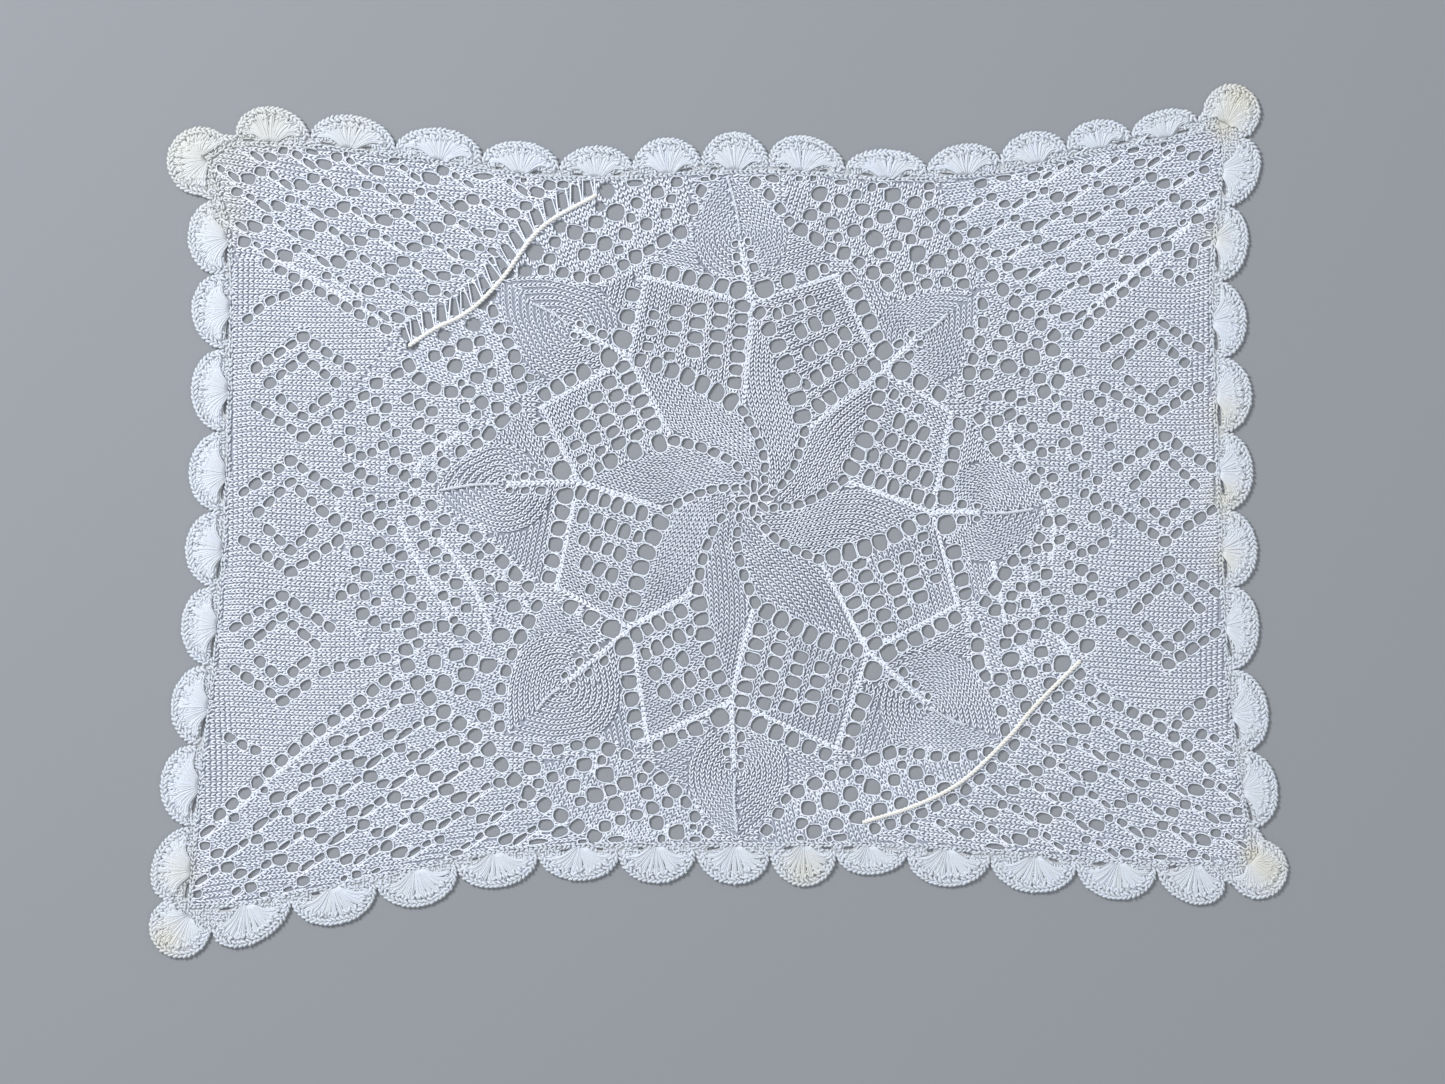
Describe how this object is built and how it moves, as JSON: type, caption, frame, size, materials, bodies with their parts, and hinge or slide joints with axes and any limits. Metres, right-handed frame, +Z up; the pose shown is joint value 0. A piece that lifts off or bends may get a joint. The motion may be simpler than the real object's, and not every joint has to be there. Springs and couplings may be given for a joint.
{
  "type": "knitted lace placemat",
  "caption": "Flat white cotton lace mat for a table, knitted as an eight-petalled swirl in a leaf frame with lattice corners and edged with crocheted shells.",
  "frame": {"origin": "middle of the mat's outline, on the surface that it lies on", "axes": "+X along the mat's length, +Y across it, +Z up out of its face"},
  "size_m": [0.478, 0.3668, 0.0023],
  "materials": {
    "knitted_cotton": "knitted lace in bleached cotton thread, matt with a faint sheen",
    "crochet_cotton": "crocheted shells in the same cotton thread, slightly creamier"
  },
  "bodies": {
    "root": {"knitted_panel": "knitted_cotton", "crochet_edging": "crochet_cotton"}
  },
  "joints": []
}
